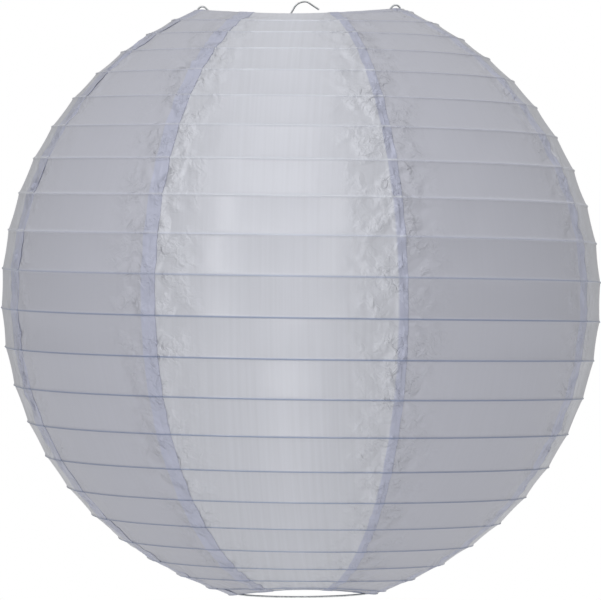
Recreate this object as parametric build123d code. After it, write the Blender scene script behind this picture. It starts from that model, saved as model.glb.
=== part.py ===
"""Round hanging lantern shade, 600 mm across, held open by a wire expander.

A steel wire is wound as one long helix into a ball, and eight fabric gores are glued
over it. The fabric turns in at the top opening, where its edge holds a wire ring, and
it is hemmed over a second ring at the bottom opening. An expander stands inside: a
crossbar with an eye at each end and two legs with an eye each, all four round the top
ring, and a bare base ring that is welded under the feet of the legs. A hook rides on
the crossbar.

Lengths are millimetres and angles are degrees. +Z is up, -Y is the front, and the
origin is the point inside the hook that the shade hangs from. The geometry is worked
out about the centre of the ball and moved to that origin when it is written.
"""

import os
from math import acos, asin, atan2, ceil, cos, degrees, hypot, radians, sin, sqrt, tan

from build123d import *

# The ball of fabric
shade_diameter = 600.0
shade_height = 609.0             # of the whole ball, before its two ends are left open
fabric_thickness = 0.5
seam_azimuths = [-70.0, -30.5, 19.3, 67.5, 112.5, 157.5, 202.5, 247.5]
seam_section_spacing = 9.0       # of the sections that each gore is lofted through
profile_points = 25              # on each gore section, from hem to top edge

# The two openings: each edge is a saddle, pulled out at the sides by the expander
top_opening_diameter = 210.0
top_side_lift = 1.5
top_saddle = 8.8
top_pulled_from = 50.0           # latitude where the pull on the fabric begins
hem_opening_diameter = 150.0
hem_side_drop = 3.7
hem_saddle = 9.4
hem_pulled_from = 56.0
top_lip_width = 5.2              # fabric turned in from the top edge towards its ring
top_lip_drop = 2.15

# Wires
rib_wire_diameter = 1.5
frame_wire_diameter = 1.8
glue_gap = 0.15                  # between the rib wire and the fabric
ring_gap = 0.3                   # between a ring and the fabric that holds it

# The helix: latitude of the wire after a number of turns from the front
helix_middle_latitude = -7.64
helix_middle_turn = 9.56
helix_pitch = 7.403              # degrees of latitude for each turn at the middle
helix_tightening = 0.00595       # lost from the pitch towards both ends
helix_end_margin = 0.9           # degrees of latitude between the wire's ends and the edges
spans_in_a_turn = 8

# The expander
eye_radius = 4.6                 # of the wire's centre line
eye_turn = 255.0
eye_inset = 1.6                  # of an eye's centre from the top ring's centre line
eye_rise = 2.1
crossbar_drop = 7.15             # of the crossbar below the eyes' centres
crossbar_bend_inset = 12.0        # of the crossbar's bends from the eyes' centres
crossbar_bend_radius = 4.0
leg_plane_offset = 2.1           # puts a leg's eye beside the crossbar's eye
leg_clearance = 9.4639            # of a leg from the hem ring, which slides up past it
leg_shoulder_drop = 24.4403       # below the eyes' centres, where a leg starts to slant out
leg_shoulder_radius = 10.0
leg_foot_radius = 3.0
base_ring_inset = 5.0             # of the base ring from the edge of the bottom opening
base_ring_drop = 0.4166           # below the hem ring at the sides
weld_gap = 0.05
foot_clearance = 0.4             # between a foot's tip and the hem ring

# The hook on the crossbar
hook_eye_radius = 2.1            # of the wire's centre line
hook_foot_x = -9.3
hook_lean_angle = 60.0
hook_shoulder_radius = 12.0
hook_rise = 15.909716             # of the hook's top over the crossbar
hook_peak_x = 8.2
hook_peak_radius = 5.0
hook_tip_angle = 34.0
hook_tip_length = 14.5           # from the peak's corner to the cut end

half_width = shade_diameter / 2
half_height = shade_height / 2
top_latitude = degrees(acos(top_opening_diameter / shade_diameter))
hem_latitude = -degrees(acos(hem_opening_diameter / shade_diameter))
frame_wire_radius = frame_wire_diameter / 2
rib_wire_radius = rib_wire_diameter / 2


def edge_shift(azimuth, latitude):
    """How far the expander moves the fabric up or down near the two openings."""
    front_share = cos(radians(azimuth)) ** 2
    top_share = max(0.0, (latitude - top_pulled_from) / (top_latitude - top_pulled_from))
    hem_share = max(0.0, (-latitude - hem_pulled_from) / (-hem_latitude - hem_pulled_from))
    top_shift = top_side_lift - top_saddle * front_share
    hem_shift = hem_saddle * front_share - hem_side_drop
    return top_shift * top_share**2 + hem_shift * hem_share**2


def around(azimuth, radius, height):
    """A point at an azimuth that is 0 at the front and 90 on the right."""
    angle = radians(azimuth)
    return Vector(radius * sin(angle), -radius * cos(angle), height)


def shade_point(azimuth, latitude, inset=0.0):
    """A point on the ball's outer face, or inset from it along its normal."""
    angle = radians(latitude)
    radial = cos(angle) / half_width
    upward = sin(angle) / half_height
    unit = inset / hypot(radial, upward)
    radius = half_width * cos(angle) - radial * unit
    height = half_height * sin(angle) - upward * unit
    return around(azimuth, radius, height + edge_shift(azimuth, latitude))


def turned_in(azimuth, thickness_below):
    """The inner end of the lip at the top opening."""
    edge = shade_point(azimuth, top_latitude)
    lip_radius = top_opening_diameter / 2 - top_lip_width
    return around(azimuth, lip_radius, edge.Z - top_lip_drop - thickness_below)


def gore_section(azimuth):
    """The closed outline of the fabric in the vertical plane at an azimuth."""
    steps = range(profile_points)
    latitudes = [hem_latitude + (top_latitude - hem_latitude) * i / (profile_points - 1) for i in steps]
    outside = [shade_point(azimuth, latitude) for latitude in latitudes]
    inside = [shade_point(azimuth, latitude, fabric_thickness) for latitude in latitudes]
    lip_top = turned_in(azimuth, 0.0)
    lip_bottom = turned_in(azimuth, fabric_thickness)
    return Wire(
        [
            Edge.make_spline(outside),
            Edge.make_line(outside[-1], lip_top),
            Edge.make_line(lip_top, lip_bottom),
            Edge.make_line(lip_bottom, inside[-1]),
            Edge.make_spline(inside[::-1]),
            Edge.make_line(inside[0], outside[0]),
        ]
    )


def gore(start, end):
    """One gore of fabric between the seams at two azimuths."""
    count = ceil((end - start) / seam_section_spacing)
    sections = [gore_section(start + (end - start) * i / count) for i in range(count + 1)]
    return Solid.make_loft(sections)


def arcs_between(start, start_direction, end, end_direction):
    """Two arcs that leave one point and reach another in the given directions."""
    span = end - start
    both = start_direction + end_direction
    quadratic = 2 * (1 - start_direction.dot(end_direction))
    linear = 2 * span.dot(both)
    root = sqrt(linear**2 + 4 * quadratic * span.dot(span))
    reach = 2 * span.dot(span) / (linear + root)
    middle = (start + end + (start_direction - end_direction) * reach) * 0.5
    second_start = (end - middle).normalized()
    turn_back = end_direction - second_start * (2 * second_start.dot(end_direction))
    first = Edge.make_tangent_arc(start, start_direction, middle)
    second = Edge.make_tangent_arc(middle, turn_back * -1, end)
    return [first, second]


def wire_along(position, first, last, count, wire_radius):
    """A round wire that follows position(turn) from the first turn to the last."""
    small = 1e-4
    turns = [first + (last - first) * i / count for i in range(count + 1)]
    points = [position(turn) for turn in turns]
    directions = [(position(turn + small) - position(turn - small)).normalized() for turn in turns]
    edges = []
    for i in range(count):
        edges += arcs_between(points[i], directions[i], points[i + 1], directions[i + 1])
    section = Plane(origin=points[0], z_dir=directions[0]) * Circle(wire_radius)
    return sweep(section, path=Wire(edges))


def bent_wire(path, wire_radius):
    """A round wire along a flat path drawn in X and Z."""
    section = Plane(origin=path @ 0, z_dir=path % 0) * Circle(wire_radius)
    return Plane.XZ * sweep(section, path=path)


# Gores
gore_ends = seam_azimuths[1:] + [seam_azimuths[0] + 360]
gores = [gore(start, end) for start, end in zip(seam_azimuths, gore_ends)]

# The top ring, in the edge of the turned-in fabric
top_ring_radius = top_opening_diameter / 2 - top_lip_width - ring_gap - frame_wire_radius


def top_ring_point(turn):
    lip_end = turned_in(360 * turn, fabric_thickness / 2)
    return around(360 * turn, top_ring_radius, lip_end.Z)


top_ring = wire_along(top_ring_point, 0, 1, 2 * spans_in_a_turn, frame_wire_radius)

# The hem ring, on the fabric just above the bottom opening
hem_ring_inset = fabric_thickness + ring_gap + frame_wire_radius
hem_ring_latitude = -degrees(acos((hem_opening_diameter + frame_wire_diameter) / shade_diameter))


def hem_ring_point(turn):
    return shade_point(360 * turn, hem_ring_latitude, hem_ring_inset)


hem_ring = wire_along(hem_ring_point, 0, 1, 2 * spans_in_a_turn, frame_wire_radius)
hem_ring_side = hem_ring_point(0.25)

# The rib wire, glued inside the fabric
rib_inset = fabric_thickness + glue_gap + rib_wire_radius


def helix_latitude(turn):
    along = turn - helix_middle_turn
    return helix_middle_latitude - helix_pitch * along + helix_tightening * along**3


def rib_point(turn):
    return shade_point(360 * turn, helix_latitude(turn), rib_inset)


def turn_at(latitude):
    """The turn at which the helix passes a latitude."""
    low = helix_middle_turn - 15
    high = helix_middle_turn + 15
    while high - low > 1e-6:
        middle = (low + high) / 2
        if helix_latitude(middle) > latitude:
            low = middle
        else:
            high = middle
    return low


rib_start = turn_at(top_latitude - helix_end_margin)
rib_end = turn_at(hem_latitude + helix_end_margin)
rib_spans = ceil((rib_end - rib_start) * spans_in_a_turn)
rib_wire = wire_along(rib_point, rib_start, rib_end, rib_spans, rib_wire_radius)

# The expander's eyes: each wire slants up to an eye that passes over and under the top ring
ring_side = top_ring_point(0.25)
eye_x = ring_side.X - eye_inset
eye_z = ring_side.Z + eye_rise


def wire_with_eye(corners, bend_radii):
    """A wire that bends at its corners and ends in an eye on the right-hand side."""
    last_x, last_z = corners[-1]
    across = eye_x - last_x
    up = eye_z - last_z
    slant = atan2(up, across) + asin(eye_radius / hypot(across, up))
    touch = (eye_x - eye_radius * sin(slant), eye_z + eye_radius * cos(slant))
    run = FilletPolyline(*corners, touch, radius=bend_radii)
    eye = CenterArc((eye_x, eye_z), eye_radius, 90 + degrees(slant), -eye_turn)
    return bent_wire(run + eye, frame_wire_radius)


# The crossbar
crossbar_z = eye_z - crossbar_drop
crossbar_corners = [(0, crossbar_z), (eye_x - crossbar_bend_inset, crossbar_z)]
crossbar_half = wire_with_eye(crossbar_corners, [crossbar_bend_radius])
crossbar = crossbar_half + mirror(crossbar_half, about=Plane.YZ)

# The legs: from an eye straight down to a foot that lies across the base ring
base_ring_radius = hem_opening_diameter / 2 - base_ring_inset
base_ring_z = hem_ring_side.Z - base_ring_drop
base_ring = Pos(0, 0, base_ring_z) * Torus(base_ring_radius, frame_wire_radius)
foot_z = base_ring_z + frame_wire_diameter + weld_gap
foot_tip_x = hem_ring_side.X - frame_wire_radius - foot_clearance
leg_x = hem_ring_side.X - leg_clearance
leg_corners = [(foot_tip_x, foot_z), (leg_x, foot_z), (leg_x, eye_z - leg_shoulder_drop)]
leg = wire_with_eye(leg_corners, [leg_foot_radius, leg_shoulder_radius])
right_leg = Pos(0, -leg_plane_offset, 0) * leg
left_leg = Rot(0, 0, 180) * right_leg

# The eyes pass through a notch in the turned-in fabric on each side
notch_reach = eye_x + eye_radius + 2 * frame_wire_radius
notch_width = 2 * (leg_plane_offset + 2 * frame_wire_radius)
notch = Pos(0, 0, ring_side.Z) * Box(2 * notch_reach, notch_width, 2 * eye_radius)
gores = [piece - notch for piece in gores]

# The hook: an eye round the crossbar and a stem bent over to one side
hook_eye = Pos(hook_foot_x, 0, crossbar_z) * Rot(0, 90, 0) * Torus(hook_eye_radius, frame_wire_radius)
hook_top_z = crossbar_z + hook_rise
stem_foot_z = crossbar_z + hook_eye_radius
shoulder_x = hook_foot_x + (hook_top_z - stem_foot_z) / tan(radians(hook_lean_angle))
tip = radians(hook_tip_angle)
hook_line = FilletPolyline(
    (hook_foot_x, stem_foot_z),
    (shoulder_x, hook_top_z),
    (hook_peak_x, hook_top_z),
    (hook_peak_x + hook_tip_length * cos(tip), hook_top_z - hook_tip_length * sin(tip)),
    radius=[hook_shoulder_radius, hook_peak_radius],
)
hanging_hook = bent_wire(hook_line, frame_wire_radius) + hook_eye

# The part's origin: under the hook's peak, where a cord or a nail bears
hang_x = hook_peak_x - hook_peak_radius * tan(tip / 2)
hang_z = hook_top_z - frame_wire_radius

pieces = {f"gore_{number}": piece for number, piece in enumerate(gores, 1)}
pieces["rib_wire"] = rib_wire
pieces["top_ring"] = top_ring
pieces["hem_ring"] = hem_ring
pieces["crossbar"] = crossbar
pieces["left_leg"] = left_leg
pieces["right_leg"] = right_leg
pieces["base_ring"] = base_ring
pieces["hanging_hook"] = hanging_hook

os.makedirs("parts", exist_ok=True)
for name, piece in pieces.items():
    export_step(Pos(-hang_x, 0, -hang_z) * piece, f"parts/{name}.step")
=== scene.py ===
"""A round hanging lantern shade: shiny fabric glued over one helical wire, open at both ends."""

import bpy
import numpy as np
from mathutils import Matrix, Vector, noise


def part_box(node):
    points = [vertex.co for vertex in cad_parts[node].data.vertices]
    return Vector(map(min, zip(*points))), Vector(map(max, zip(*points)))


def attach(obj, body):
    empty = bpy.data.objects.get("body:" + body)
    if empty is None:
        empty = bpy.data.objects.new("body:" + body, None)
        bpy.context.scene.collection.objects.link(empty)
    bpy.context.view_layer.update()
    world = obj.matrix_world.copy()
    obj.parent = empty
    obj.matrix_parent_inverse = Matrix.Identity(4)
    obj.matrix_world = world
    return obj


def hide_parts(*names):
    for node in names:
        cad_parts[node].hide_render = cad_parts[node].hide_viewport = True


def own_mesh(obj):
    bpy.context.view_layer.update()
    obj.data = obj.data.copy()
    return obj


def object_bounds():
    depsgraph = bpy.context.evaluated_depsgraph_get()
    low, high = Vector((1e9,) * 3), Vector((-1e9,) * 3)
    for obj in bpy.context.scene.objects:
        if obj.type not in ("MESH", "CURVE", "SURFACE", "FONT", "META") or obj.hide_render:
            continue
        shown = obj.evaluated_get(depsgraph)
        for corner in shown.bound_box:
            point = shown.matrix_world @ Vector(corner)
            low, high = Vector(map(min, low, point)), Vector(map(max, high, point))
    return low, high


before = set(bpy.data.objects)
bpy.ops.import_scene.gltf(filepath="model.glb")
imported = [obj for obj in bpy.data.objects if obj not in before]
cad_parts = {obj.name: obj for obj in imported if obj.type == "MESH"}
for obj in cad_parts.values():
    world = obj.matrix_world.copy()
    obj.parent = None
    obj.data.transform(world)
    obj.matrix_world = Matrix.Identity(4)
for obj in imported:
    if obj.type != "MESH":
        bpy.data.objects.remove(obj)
cad_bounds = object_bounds()


# Rib wire: one galvanised spring-steel wire of 1.5 mm, wound on the mould as a helix that
# drops to the right at the front, and glued to the inside of the fabric all the way. It is
# drawn as one curve and made a tube.

# The mould is a ball, which the expander pulls out of shape near the two openings. Azimuths
# are in degrees, 0 at the front and 90 on the right; latitudes are in degrees.
ball_radius = 0.300
ball_half_height = 0.3045
ball_above_base_ring = 0.297
base_low, base_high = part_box("base_ring")
ball_x = (base_low.x + base_high.x) / 2
ball_z = (base_low.z + base_high.z) / 2 + ball_above_base_ring
top_edge_radius = 0.105
hem_edge_radius = 0.075
top_latitude = np.degrees(np.arccos(top_edge_radius / ball_radius))
hem_latitude = -np.degrees(np.arccos(hem_edge_radius / ball_radius))


def edge_pull(azimuth, latitude):
    """How far the expander lifts or lowers the ball near its openings."""
    pulled_from_top = 50.0
    pulled_from_hem = 56.0
    top_lift_at_sides = 0.0015
    top_drop_to_front = 0.0088
    hem_drop_at_sides = 0.0037
    hem_lift_to_front = 0.0094
    front_share = np.cos(np.radians(azimuth)) ** 2
    top_share = np.maximum(0, (latitude - pulled_from_top) / (top_latitude - pulled_from_top))
    hem_share = np.maximum(0, (-latitude - pulled_from_hem) / (-hem_latitude - pulled_from_hem))
    top_pull = top_lift_at_sides - top_drop_to_front * front_share
    hem_pull = hem_lift_to_front * front_share - hem_drop_at_sides
    return top_pull * top_share**2 + hem_pull * hem_share**2


def around(azimuth, radius, height):
    """Points at an azimuth, a distance from the ball's axis and a height over its centre."""
    turn = np.radians(azimuth)
    return np.stack(
        [ball_x + radius * np.sin(turn), -radius * np.cos(turn), ball_z + height + 0 * turn], -1
    )


def ball_point(azimuth, latitude, lift):
    """Points on the ball's outer face, lifted off it along its normal."""
    angle = np.radians(latitude)
    radial = np.cos(angle) / ball_radius
    upward = np.sin(angle) / ball_half_height
    unit = lift / np.hypot(radial, upward)
    radius = ball_radius * np.cos(angle) + radial * unit
    height = ball_half_height * np.sin(angle) + upward * unit + edge_pull(azimuth, latitude)
    return around(azimuth, radius, height)


def helix_latitude(turn):
    """Latitude of the rib wire after a number of turns from the front."""
    middle_turn = 9.56
    middle_latitude = -7.64
    latitude_per_turn = 7.403
    closing_up = 0.00595
    along = turn - middle_turn
    return middle_latitude - latitude_per_turn * along + closing_up * along**3


def turn_at(latitude):
    """The turn at which the rib wire passes a latitude."""
    turns = np.linspace(-4, 22, 5201)
    return float(np.interp(-latitude, -helix_latitude(turns), turns))


rib_wire_radius = 0.00075
rib_wire_depth = 0.00065
rib_wire_lift = -(rib_wire_depth + rib_wire_radius)
rib_end_inset = 0.9
rib_steps_per_turn = 90
rib_first_turn = turn_at(top_latitude - rib_end_inset)
rib_last_turn = turn_at(hem_latitude + rib_end_inset)
rib_turns = np.arange(rib_first_turn, rib_last_turn, 1 / rib_steps_per_turn)
rib_points = ball_point(360 * rib_turns, helix_latitude(rib_turns), rib_wire_lift)


def select_only(piece):
    """Makes a piece the only selected one and the active one."""
    bpy.ops.object.select_all(action="DESELECT")
    piece.select_set(True)
    bpy.context.view_layer.objects.active = piece


rib_line = bpy.data.curves.new("rib_wire_line", "CURVE")
rib_line.dimensions = "3D"
rib_line.bevel_depth = rib_wire_radius
rib_line.bevel_resolution = 2
rib_line.use_fill_caps = True
rib_spline = rib_line.splines.new("POLY")
rib_spline.points.add(len(rib_points) - 1)
rib_spline.points.foreach_set("co", np.c_[rib_points, np.ones(len(rib_points))].ravel())
rib_curve = bpy.data.objects.new("rib_wire_helix", rib_line)
bpy.context.scene.collection.objects.link(rib_curve)
select_only(rib_curve)
bpy.ops.object.convert(target="MESH")
rib_piece = bpy.context.object
bpy.ops.object.shade_smooth()


def new_material(name):
    """A material with its nodes, links and main shader."""
    material = bpy.data.materials.new(name)
    material.use_nodes = True
    nodes = material.node_tree.nodes
    return material, nodes, material.node_tree.links, nodes["Principled BSDF"]


def set_ramp(ramp, low_position, low_colour, high_position, high_colour):
    """Sets the two ends of a colour ramp."""
    low, high = ramp.color_ramp.elements
    low.position = low_position
    low.color = low_colour
    high.position = high_position
    high.color = high_colour


def drawn_wire(name, tone, roughness):
    """Galvanised drawn steel: cloudy zinc with fine die marks and a few duller spots."""
    material, nodes, links, shader = new_material(name)
    shader.inputs["Metallic"].default_value = 0.9
    place = nodes.new("ShaderNodeTexCoord")
    cloud = nodes.new("ShaderNodeTexNoise")
    cloud.inputs["Scale"].default_value = 420
    cloud.inputs["Detail"].default_value = 4
    links.new(place.outputs["Object"], cloud.inputs["Vector"])
    zinc = nodes.new("ShaderNodeValToRGB")
    dull_zinc = (tone * 0.66, tone * 0.69, tone * 0.70, 1)
    bright_zinc = (tone, tone * 1.02, tone * 1.03, 1)
    set_ramp(zinc, 0.3, dull_zinc, 0.7, bright_zinc)
    links.new(cloud.outputs["Fac"], zinc.inputs["Fac"])
    links.new(zinc.outputs["Color"], shader.inputs["Base Color"])
    dull = nodes.new("ShaderNodeMapRange")
    dull.inputs["To Min"].default_value = roughness - 0.08
    dull.inputs["To Max"].default_value = roughness + 0.14
    links.new(cloud.outputs["Fac"], dull.inputs["Value"])
    links.new(dull.outputs["Result"], shader.inputs["Roughness"])
    marks = nodes.new("ShaderNodeTexNoise")
    marks.inputs["Scale"].default_value = 2600
    marks.inputs["Detail"].default_value = 2
    links.new(place.outputs["Object"], marks.inputs["Vector"])
    bump = nodes.new("ShaderNodeBump")
    bump.inputs["Strength"].default_value = 0.25
    bump.inputs["Distance"].default_value = 0.00005
    links.new(marks.outputs["Fac"], bump.inputs["Height"])
    links.new(bump.outputs["Normal"], shader.inputs["Normal"])
    return material


rib_steel = drawn_wire("rib_steel", 0.70, 0.36)
rib_piece.data.materials.clear()
rib_piece.data.materials.append(rib_steel)
hem_low, hem_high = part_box("hem_ring")
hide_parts("rib_wire")
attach(rib_piece, "shade")
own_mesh(rib_piece)


# Top ring and hem ring: wire 1.8 mm thick, closed into a ring in the edge of each opening.
# They are the modelled rings themselves with the rib wire's finish.

for ring_name in ("top_ring", "hem_ring"):
    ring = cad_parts[ring_name]
    ring.data.materials.clear()
    ring.data.materials.append(rib_steel)


# Fabric gores: eight pieces of thin, shiny, plain-woven nylon, cut like orange peel, glued
# over the wire and over each other. The fabric pulls in between the turns of the wire and
# puckers beside the seams. Each edge is wrapped round its ring.

seam_azimuths = [-70.0, -29.0, 18.8, 67.5, 112.5, 157.5, 202.5, 247.5]
lap_widths = [0.025, 0.016, 0.010, 0.022, 0.020, 0.020, 0.020, 0.020]
seam_ends = seam_azimuths[1:] + [seam_azimuths[0] + 360]
fabric_thickness = 0.00025
layer_step = 0.0004
top_edge_turn = turn_at(top_latitude)
hem_edge_turn = turn_at(hem_latitude)


def seam_nearness(azimuth, latitude, reach):
    """For each seam: its number, the distance from it, the height, and a share that is one
    beside the seam and fades to nothing past the reach."""
    height = np.radians(latitude) * ball_half_height
    radius = ball_radius * np.cos(np.radians(latitude))
    for number, seam in enumerate(seam_azimuths):
        apart = (azimuth - seam + 180) % 360 - 180
        across = np.radians(apart) * radius
        yield number, across, height, np.exp(-np.abs(across / reach) ** 2.2)


def pucker(azimuth, latitude):
    """Small slanting puckers where the seam allowance has shrunk, fading away from each seam."""
    pucker_reach = 0.030
    leaf_height = 0.0028
    crease_height = 0.0026
    lift = np.zeros(azimuth.shape)
    for number, across, height, near in seam_nearness(azimuth, latitude, pucker_reach):
        for index in np.argwhere(near > 0.02):
            spot = tuple(index)
            x = across[spot]
            z = height[spot]
            slant = 0.75 * z + 0.66 * abs(x)
            aside = 0.66 * z - 0.75 * abs(x)
            seed = 10 * number + (5 if x > 0 else 0)
            bend = 0.004 * noise.noise(Vector((x * 40, z * 40, seed)))
            leaf = noise.noise(Vector(((aside + bend) * 120, slant * 40, seed + 1)))
            crease = 0.4 - abs(noise.noise(Vector(((aside + bend) * 75, slant * 60, seed + 2))))
            patch = 0.6 + 1.3 * noise.noise(Vector((x * 15, z * 17, seed + 3)))
            rise = leaf_height * leaf + crease_height * crease
            lift[spot] += near[spot] * max(0.1, patch) * rise
    return lift


def slackness(azimuth, from_front):
    """Uneven tension: how much deeper or shallower a band of fabric hangs than the mean."""
    lift = np.zeros(azimuth.shape)
    band = np.floor(from_front + 1e-6)
    for index in np.ndindex(azimuth.shape):
        angle = np.radians(azimuth[index])
        place = Vector((np.sin(angle) * 5, np.cos(angle) * 5, band[index] * 3.7))
        lift[index] = noise.noise(place) + 0.5 * noise.noise(place * 3)
    return lift


def eye_tension(azimuth, latitude):
    """Folds that fan out from the four places where the expander bears on the edges."""
    fold_size = 0.0007
    folds_in_fan = 13
    still_radius = 0.012
    lift = np.zeros(azimuth.shape)
    for side in (90.0, 270.0):
        apart = np.radians((azimuth - side + 180) % 360 - 180)
        for edge, reach in ((top_latitude, 0.085), (hem_latitude, 0.060)):
            down = np.abs(np.radians(latitude - edge)) * ball_half_height
            aside = apart * ball_radius * np.cos(np.radians(latitude))
            away = np.hypot(down, aside)
            fan = np.arctan2(aside, down + 0.004)
            fading = np.exp(-away / reach) * np.tanh(away / still_radius)
            lift += fold_size * np.cos(fan * folds_in_fan + side) * fading
    return lift


def sheet_mesh(name, points, marks, flat_places):
    """A grid of points as a mesh, with its UV in metres on the flat cloth and its marks."""
    rows, columns = points.shape[:2]
    corner = np.arange(rows * columns).reshape(rows, columns)
    quads = np.stack([corner[:-1, :-1], corner[1:, :-1], corner[1:, 1:], corner[:-1, 1:]], -1)
    mesh = bpy.data.meshes.new(name)
    mesh.from_pydata(points.reshape(-1, 3).tolist(), [], quads.reshape(-1, 4).tolist())
    layer = mesh.uv_layers.new(name="cloth")
    order = np.zeros(len(mesh.loops), int)
    mesh.loops.foreach_get("vertex_index", order)
    layer.data.foreach_set("uv", flat_places.reshape(-1, 2)[order].ravel())
    for mark, values in marks.items():
        attribute = mesh.attributes.new(mark, "FLOAT", "POINT")
        attribute.data.foreach_set("value", values.ravel().astype(np.float32))
    mesh.polygons.foreach_set("use_smooth", [True] * len(mesh.polygons))
    piece = bpy.data.objects.new(name, mesh)
    bpy.context.scene.collection.objects.link(piece)
    return piece


def tinted(colour, red, green, blue):
    """A colour with each of its parts multiplied."""
    return (colour[0] * red, colour[1] * green, colour[2] * blue, 1)


def attribute_mark(nodes, mark):
    """A node that reads one of the gore's marks."""
    reader = nodes.new("ShaderNodeAttribute")
    reader.attribute_name = mark
    return reader


def product(nodes, links, first, second):
    """A node that multiplies two outputs."""
    times = nodes.new("ShaderNodeMath")
    times.operation = "MULTIPLY"
    links.new(first, times.inputs[0])
    links.new(second, times.inputs[1])
    return times


def satin(name, grain_turn, gloss, streak, colour):
    """Shiny woven nylon. The threads that show lie along or across the gore, which decides
    how its highlight spreads. Two layers show bluer at a seam. The line over the wire is a
    glued line whose colour is painted light: bright as a painted highlight on the upper half
    and dark blue as painted shade on the lower half, for light falling from above."""
    material, nodes, links, shader = new_material(name)
    shader.inputs["Metallic"].default_value = gloss
    shader.inputs["Anisotropic"].default_value = 0.85
    shader.inputs["Anisotropic Rotation"].default_value = grain_turn
    shader.inputs["Sheen Weight"].default_value = 0.15
    shader.inputs["Sheen Roughness"].default_value = 0.4
    shader.inputs["Coat Weight"].default_value = 0.6
    shader.inputs["Coat Roughness"].default_value = 0.2
    cloth = nodes.new("ShaderNodeUVMap")
    cloth.uv_map = "cloth"
    tangent = nodes.new("ShaderNodeTangent")
    tangent.direction_type = "UV_MAP"
    tangent.uv_map = "cloth"
    links.new(tangent.outputs["Tangent"], shader.inputs["Tangent"])

    # Uneven threads, which run the length of the gore
    stretch = nodes.new("ShaderNodeMapping")
    stretch.inputs["Scale"].default_value = (260, 5, 1)
    links.new(cloth.outputs["UV"], stretch.inputs["Vector"])
    threads = nodes.new("ShaderNodeTexNoise")
    threads.inputs["Scale"].default_value = 1
    threads.inputs["Detail"].default_value = 5
    links.new(stretch.outputs["Vector"], threads.inputs["Vector"])
    tones = nodes.new("ShaderNodeValToRGB")
    dark_thread = tinted(colour, 1 - streak, 1 - streak, 1 - streak)
    bright_thread = tinted(colour, 1 + streak, 1 + streak, 1 + streak)
    set_ramp(tones, 0.25, dark_thread, 0.75, bright_thread)
    links.new(threads.outputs["Fac"], tones.inputs["Fac"])

    # Seam laps, and the glued lines over the wire with a painted highlight above and painted
    # shade below
    doubled = nodes.new("ShaderNodeMixRGB")
    doubled.inputs["Color2"].default_value = (0.665, 0.69, 0.84, 1)
    links.new(attribute_mark(nodes, "lap").outputs["Fac"], doubled.inputs["Fac"])
    links.new(tones.outputs["Color"], doubled.inputs["Color1"])
    # Painted highlight and painted shade: the line over the wire is lighter on the upper half
    # and dark blue on the lower half, by where light from above falls.
    painted_rib_light = nodes.new("ShaderNodeMixRGB")
    painted_rib_light.inputs["Color1"].default_value = tinted(colour, 0.40, 0.48, 0.66)
    painted_rib_light.inputs["Color2"].default_value = tinted(colour, 1.13, 1.14, 1.16)
    links.new(attribute_mark(nodes, "upper").outputs["Fac"], painted_rib_light.inputs["Fac"])
    # Mixes the painted highlight and painted shade of the line over the wire into the cloth's
    # colour.
    glued = nodes.new("ShaderNodeMixRGB")
    links.new(painted_rib_light.outputs["Color"], glued.inputs["Color2"])
    links.new(attribute_mark(nodes, "rib").outputs["Fac"], glued.inputs["Fac"])
    links.new(doubled.outputs["Color"], glued.inputs["Color1"])
    links.new(glued.outputs["Color"], shader.inputs["Base Color"])

    rough = nodes.new("ShaderNodeMapRange")
    rough.inputs["To Min"].default_value = 0.36
    rough.inputs["To Max"].default_value = 0.50
    links.new(threads.outputs["Fac"], rough.inputs["Value"])
    links.new(rough.outputs["Result"], shader.inputs["Roughness"])

    # The weave's warp and weft
    waves = []
    for direction, scale in (("X", 500), ("Y", 420)):
        wave = nodes.new("ShaderNodeTexWave")
        wave.bands_direction = direction
        wave.inputs["Scale"].default_value = scale
        wave.inputs["Distortion"].default_value = 0.6
        links.new(cloth.outputs["UV"], wave.inputs["Vector"])
        waves.append(wave.outputs["Fac"])
    weave = product(nodes, links, *waves)
    bump = nodes.new("ShaderNodeBump")
    bump.inputs["Strength"].default_value = 0.35
    bump.inputs["Distance"].default_value = 0.00006
    links.new(weave.outputs["Value"], bump.inputs["Height"])

    # Fine crinkles, in patches beside the seams
    folds = nodes.new("ShaderNodeTexNoise")
    folds.inputs["Scale"].default_value = 130
    folds.inputs["Detail"].default_value = 3
    folds.inputs["Distortion"].default_value = 0.8
    links.new(cloth.outputs["UV"], folds.inputs["Vector"])
    patches = nodes.new("ShaderNodeTexNoise")
    patches.inputs["Scale"].default_value = 38
    patches.inputs["Detail"].default_value = 1
    links.new(cloth.outputs["UV"], patches.inputs["Vector"])
    patchy = nodes.new("ShaderNodeMapRange")
    patchy.inputs["From Min"].default_value = 0.38
    patchy.inputs["From Max"].default_value = 0.62
    links.new(patches.outputs["Fac"], patchy.inputs["Value"])
    crinkle = attribute_mark(nodes, "crinkle")
    where = product(nodes, links, crinkle.outputs["Fac"], patchy.outputs["Result"])
    depth = product(nodes, links, folds.outputs["Fac"], where.outputs["Value"])
    crumple = nodes.new("ShaderNodeBump")
    crumple.inputs["Strength"].default_value = 1.0
    crumple.inputs["Distance"].default_value = 0.005
    links.new(depth.outputs["Value"], crumple.inputs["Height"])
    links.new(bump.outputs["Normal"], crumple.inputs["Normal"])
    links.new(crumple.outputs["Normal"], shader.inputs["Normal"])

    # The cloth is thin and lets some light through
    through = nodes.new("ShaderNodeBsdfTranslucent")
    links.new(glued.outputs["Color"], through.inputs["Color"])
    links.new(crumple.outputs["Normal"], through.inputs["Normal"])
    both = nodes.new("ShaderNodeMixShader")
    both.inputs["Fac"].default_value = 0.16
    links.new(shader.outputs["BSDF"], both.inputs[1])
    links.new(through.outputs["BSDF"], both.inputs[2])
    links.new(both.outputs["Shader"], nodes["Material Output"].inputs["Surface"])
    return material


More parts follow.
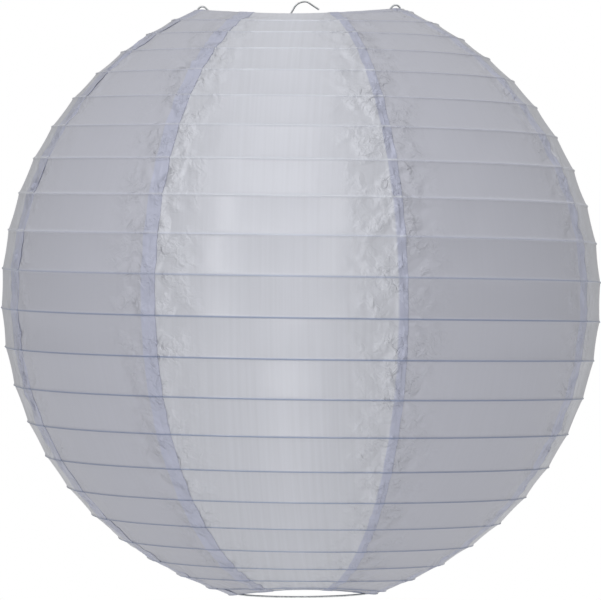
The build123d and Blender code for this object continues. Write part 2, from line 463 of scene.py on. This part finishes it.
# The gores are one cloth: the across gores' colour is painted lighter than the along gores' as a
# painted sheen, standing in for the brighter highlight of their grain.
satin_across = satin("satin_across", 0.25, 0.50, 0.035, (0.83, 0.845, 0.91))
satin_along = satin("satin_along", 0.0, 0.25, 0.012, (0.685, 0.695, 0.775))

half_band_steps = np.array([0.012, 0.028, 0.050, 0.085, 0.14, 0.21, 0.29, 0.37, 0.45])
band_steps = np.concatenate([[0], half_band_steps, 1 - half_band_steps[::-1]])
columns_in_gore = 90
columns_in_lap = 7
column_crowding = 0.6


def gore_grid(start, end, half_lap_start, half_lap_end):
    """The azimuth, latitude, turn from the front meridian and step within its band of each
    point of a gore. Rows run with the wire, so that each turn of it has rows of its own."""
    clear_of_edge = 0.1
    first = int(np.ceil(top_edge_turn - start / 360 + clear_of_edge))
    last = int(np.floor(hem_edge_turn - end / 360 - clear_of_edge))
    crossings = np.arange(first, last + 1)
    shares = [(band, step) for band in range(len(crossings) + 1) for step in band_steps]
    shares.append((len(crossings), 1.0))

    even = np.linspace(0, 1, columns_in_gore)
    side = even - column_crowding * np.sin(2 * np.pi * even) / (2 * np.pi)
    lap = np.linspace(0, 1, columns_in_lap + 1)[1:]
    across = np.concatenate([-lap[::-1], side * 0, lap])
    within = np.concatenate([0 * lap, side, 0 * lap + 1])
    widening = np.where(across < 0, half_lap_start, half_lap_end) * across

    meridians = start + (end - start) * within
    fences = []
    for meridian in meridians:
        top = top_edge_turn - meridian / 360
        hem = hem_edge_turn - meridian / 360
        fences.append([top, *crossings, hem])
    fences = np.array(fences)
    rows = [fences[:, band] * (1 - step) + fences[:, band + 1] * step for band, step in shares]
    from_front = np.array(rows)
    step_in_band = np.array([[step] * len(within) for _, step in shares])
    azimuth = np.tile(meridians, (len(shares), 1))
    latitude = helix_latitude(from_front + azimuth / 360)
    radius = ball_radius * np.cos(np.radians(latitude))
    return azimuth + np.degrees(widening / radius), latitude, from_front, step_in_band


ring_low, ring_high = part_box("top_ring")
ring_wire_radius = 0.0009
top_ring_radius = (ring_high.x - ring_low.x) / 2 - ring_wire_radius
hem_ring_radius = (hem_high.x - hem_low.x) / 2 - ring_wire_radius


def turned_in_edge(azimuth, over, below):
    """Rows of the top edge: round the ring from the inside, up to the fold, and down the
    outside to the row below."""
    eye_bump_height = 0.0014
    eye_bump_width = 2.6
    fold_over_ring = 0.0024
    wrap = 0.00115 + layer_step * over
    fold = ball_point(azimuth, np.full(azimuth.shape, top_latitude), 0 * azimuth)
    from_eye = (azimuth % 180) - 90
    bump = eye_bump_height * np.exp(-((from_eye / eye_bump_width) ** 2))
    ring_height = fold[:, 2] - ball_z - fold_over_ring
    rows = []
    for angle in np.radians(np.arange(240, 59, -20)):
        reach = top_ring_radius + wrap * np.cos(angle)
        rows.append(around(azimuth, reach, ring_height + wrap * np.sin(angle)))
    lip = rows[-1]
    corner = fold + np.array([0, 0, 1]) * (bump + layer_step * over)[:, None]
    for share in (0.25, 0.5, 0.75):
        rows.append(lip * (1 - share) + corner * share)
    inner = rows[-1]
    for share in (0.15, 0.35, 0.55, 0.75, 0.9):
        rest = 1 - share
        rows.append(inner * rest**2 + corner * 2 * share * rest + below * share**2)
    return rows


def hemmed_edge(azimuth, over):
    """Rows of the hem: round the hem ring from the outside and back up inside."""
    wrap = 0.00125 + layer_step * over
    hem_pull = edge_pull(azimuth, np.full(azimuth.shape, hem_latitude))
    lowest_middle = hem_low.z + ring_wire_radius - ball_z
    ring_height = lowest_middle - edge_pull(90.0, hem_latitude) + hem_pull
    rows = []
    for angle in np.radians(np.arange(265, 69, -20)):
        reach = hem_ring_radius + wrap * np.cos(angle)
        rows.append(around(azimuth, reach, ring_height + wrap * np.sin(angle)))
    return rows


def cut_slits(gore):
    """Cuts the slits in the turned-in edge through which the expander's eyes pass."""
    slit_bottom = ring_high.z - 0.006
    slit_half_width = 0.0039
    slit_reach = 0.1034
    faces = gore.data.polygons
    doomed = []
    for face in faces:
        x, y, z = face.center
        if abs(y) < slit_half_width and z > slit_bottom and abs(x - ball_x) < slit_reach:
            doomed.append(face.index)
    if not doomed:
        return
    select_only(gore)
    bpy.ops.object.mode_set(mode="EDIT")
    bpy.ops.mesh.select_mode(type="FACE")
    bpy.ops.mesh.select_all(action="DESELECT")
    bpy.ops.object.mode_set(mode="OBJECT")
    for index in doomed:
        faces[index].select = True
    bpy.ops.object.mode_set(mode="EDIT")
    bpy.ops.mesh.delete(type="FACE")
    bpy.ops.object.mode_set(mode="OBJECT")


band_height = 0.037
hang_depth = 0.0013
hang_unevenness = 0.45
ridge_height = 0.0010
ridge_half_width = 0.0007
pinned_reach = 0.004
over_slope = 0.003
mark_edge = 0.001
crinkle_reach = 0.034

for number, (start, end) in enumerate(zip(seam_azimuths, seam_ends), 1):
    half_lap_start = lap_widths[number - 1] / 2
    half_lap_end = lap_widths[number % 8] / 2
    grid = gore_grid(start, end, half_lap_start, half_lap_end)
    azimuth, latitude, from_front, step_in_band = grid
    radius = ball_radius * np.cos(np.radians(latitude))

    # The band between two turns of the wire hangs inside the ball, and the wire stands
    # proud, with a softer shoulder above it on the upper half
    depth = hang_depth * (1 + hang_unevenness * slackness(azimuth, from_front))
    hang = -depth * 4 * step_in_band * (1 - step_in_band)
    crossing = np.minimum(step_in_band, 1 - step_in_band) * band_height
    upper = np.clip((latitude + 4) / 18, 0, 1)
    shoulder = ridge_half_width * (1 + upper)
    ridge_width = np.where(step_in_band < 0.5, ridge_half_width, shoulder)
    ridge = np.exp(-((crossing / ridge_width) ** 2))
    pinned = np.tanh(crossing / pinned_reach)
    lift = hang + ridge_height * ridge
    lift = lift + pucker(azimuth, latitude) * pinned + eye_tension(azimuth, latitude) * pinned

    # The gore's far edge lies over the next gore
    from_start = np.radians(azimuth - start) * radius
    from_end = np.radians(azimuth - end) * radius
    over = np.clip((from_end + half_lap_end + over_slope) / over_slope, 0, 1)
    lift = lift + layer_step * over
    lap_at_end = np.clip((from_end + half_lap_end) / mark_edge, 0, 1)
    lap_at_start = np.clip((half_lap_start - from_start) / mark_edge, 0, 1)
    crinkle = np.zeros(azimuth.shape)
    for _, _, _, near in seam_nearness(azimuth, latitude, crinkle_reach):
        crinkle = np.maximum(crinkle, near)

    body = ball_point(azimuth, latitude, lift)
    top_rows = turned_in_edge(azimuth[0], over[0], body[2])
    hem_rows = hemmed_edge(azimuth[-1], over[-1])
    points = np.concatenate([np.array(top_rows), body[2:-1], np.array(hem_rows)])

    def with_edges(values):
        """A value for every row, the two edges' rows taking their neighbour's."""
        top = np.repeat(values[2:3], len(top_rows), axis=0)
        bottom = np.repeat(values[-1:], len(hem_rows), axis=0)
        return np.concatenate([top, values[2:-1], bottom])

    # The flat cloth: each point's distance from the gore's middle and from its top edge
    gaps = np.linalg.norm(np.diff(points, axis=0), axis=-1)
    run = np.concatenate([np.zeros((1, points.shape[1])), np.cumsum(gaps, axis=0)])
    sideways = np.radians(with_edges(azimuth) - (start + end) / 2) * with_edges(radius)
    flat_places = np.stack([sideways, -run], -1)
    # The upper mark also sets where the line over the wire gets its painted highlight and where
    # its painted shade.
    marks = {
        "lap": with_edges(np.maximum(lap_at_end, lap_at_start)),
        "rib": with_edges(ridge),
        "upper": with_edges(upper),
        "crinkle": with_edges(crinkle),
    }
    gore = sheet_mesh(f"fabric_gore_{number}", points, marks, flat_places)
    cut_slits(gore)

    gore.data.materials.append(satin_across if number in (2, 4, 6, 8) else satin_along)
    thicken = gore.modifiers.new("thickness", "SOLIDIFY")
    thicken.thickness = fabric_thickness
    thicken.offset = -1
    select_only(gore)
    bpy.ops.object.modifier_apply(modifier="thickness")
    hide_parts(f"gore_{number}")
    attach(gore, "shade")
    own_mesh(gore)


# Expander: a crossbar, two legs and a base ring of 1.8 mm galvanised wire, bent on a former
# and spot-welded at the feet, and the hook it hangs by. The pieces are the modelled wires
# with the wire's finish.

frame_steel = drawn_wire("frame_steel", 0.84, 0.30)
for wire_name in ("crossbar", "left_leg", "right_leg", "base_ring", "hanging_hook"):
    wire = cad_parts[wire_name]
    wire.data.materials.clear()
    wire.data.materials.append(frame_steel)


# Stage: a pale floor below the shade, in a white room, with five soft lights and the camera.

floor_drop = 1.4
floor_z = cad_bounds[0].z - floor_drop
bpy.ops.object.select_all(action="DESELECT")
bpy.ops.mesh.primitive_plane_add(size=24, location=(0, 0, floor_z))
floor = bpy.context.object
floor.name = "floor"
pale, _, _, pale_shader = new_material("pale_floor")
pale_shader.inputs["Base Color"].default_value = (0.82, 0.82, 0.82, 1)
pale_shader.inputs["Roughness"].default_value = 0.9
pale_shader.inputs["Emission Color"].default_value = (1, 1, 1, 1)
pale_shader.inputs["Emission Strength"].default_value = 0.04
floor.data.materials.append(pale)

# The wall is far off and evenly lit and throws little light on the shade. The ceiling throws
# more.
wall_brightness = 1.0
wall_light = 0.36
ceiling_light = 0.50
world = bpy.data.worlds.new("soft_room")
world.use_nodes = True
room = world.node_tree.nodes
room_links = world.node_tree.links
direction = room.new("ShaderNodeTexCoord")
upward = room.new("ShaderNodeSeparateXYZ")
room_links.new(direction.outputs["Generated"], upward.inputs["Vector"])
ceiling = room.new("ShaderNodeMapRange")
ceiling.inputs["To Min"].default_value = wall_light
ceiling.inputs["To Max"].default_value = wall_light + ceiling_light
room_links.new(upward.outputs["Z"], ceiling.inputs["Value"])
seen = room.new("ShaderNodeLightPath")
level = room.new("ShaderNodeMapRange")
level.inputs["To Max"].default_value = wall_brightness
room_links.new(seen.outputs["Is Camera Ray"], level.inputs["Value"])
room_links.new(ceiling.outputs["Result"], level.inputs["To Min"])
room_links.new(level.outputs["Result"], room["Background"].inputs["Strength"])
room["Background"].inputs["Color"].default_value = (1, 1, 1, 1)
bpy.context.scene.world = world


def softbox(name, azimuth, height, width, tall, power):
    """A rectangular soft light that faces the middle of the shade."""
    distance = 2.7
    turn = np.radians(azimuth)
    middle = Vector((ball_x, 0, ball_z))
    place = middle + Vector((distance * np.sin(turn), -distance * np.cos(turn), height))
    lamp = bpy.data.lights.new(name, "AREA")
    lamp.shape = "RECTANGLE"
    lamp.size = width
    lamp.size_y = tall
    lamp.energy = power
    light = bpy.data.objects.new(name, lamp)
    light.location = place
    light.rotation_euler = (middle - place).to_track_quat("-Z", "Y").to_euler()
    bpy.context.scene.collection.objects.link(light)


softbox("softbox_overhead", -8, 2.4, 1.6, 1.6, 9.0)
softbox("softbox_low", -6, -1.5, 0.8, 0.8, 4.4)
softbox("softbox_side", -70, 0.6, 1.6, 1.6, 1.6)
softbox("softbox_strip_left", -30, 1.0, 0.25, 1.6, 4.0)
softbox("softbox_strip_right", 12, 0.9, 0.25, 1.6, 2.6)

camera_data = bpy.data.cameras.new("camera")
camera_data.sensor_width = 36
camera_data.lens = 274
camera_data.clip_end = 60
camera = bpy.data.objects.new("camera", camera_data)
camera_distance = 4.59
camera_height = 0.031
eye = Vector((ball_x, -camera_distance, ball_z + camera_height))
aim = Vector((ball_x - 0.0005, 0, ball_z - 0.004))
camera.location = eye
camera.rotation_euler = (aim - eye).to_track_quat("-Z", "Y").to_euler()
camera_roll = np.radians(-0.4)
camera.rotation_euler.rotate_axis("Z", camera_roll)
bpy.context.scene.collection.objects.link(camera)
bpy.context.scene.camera = camera
bpy.context.scene.view_settings.view_transform = "Standard"
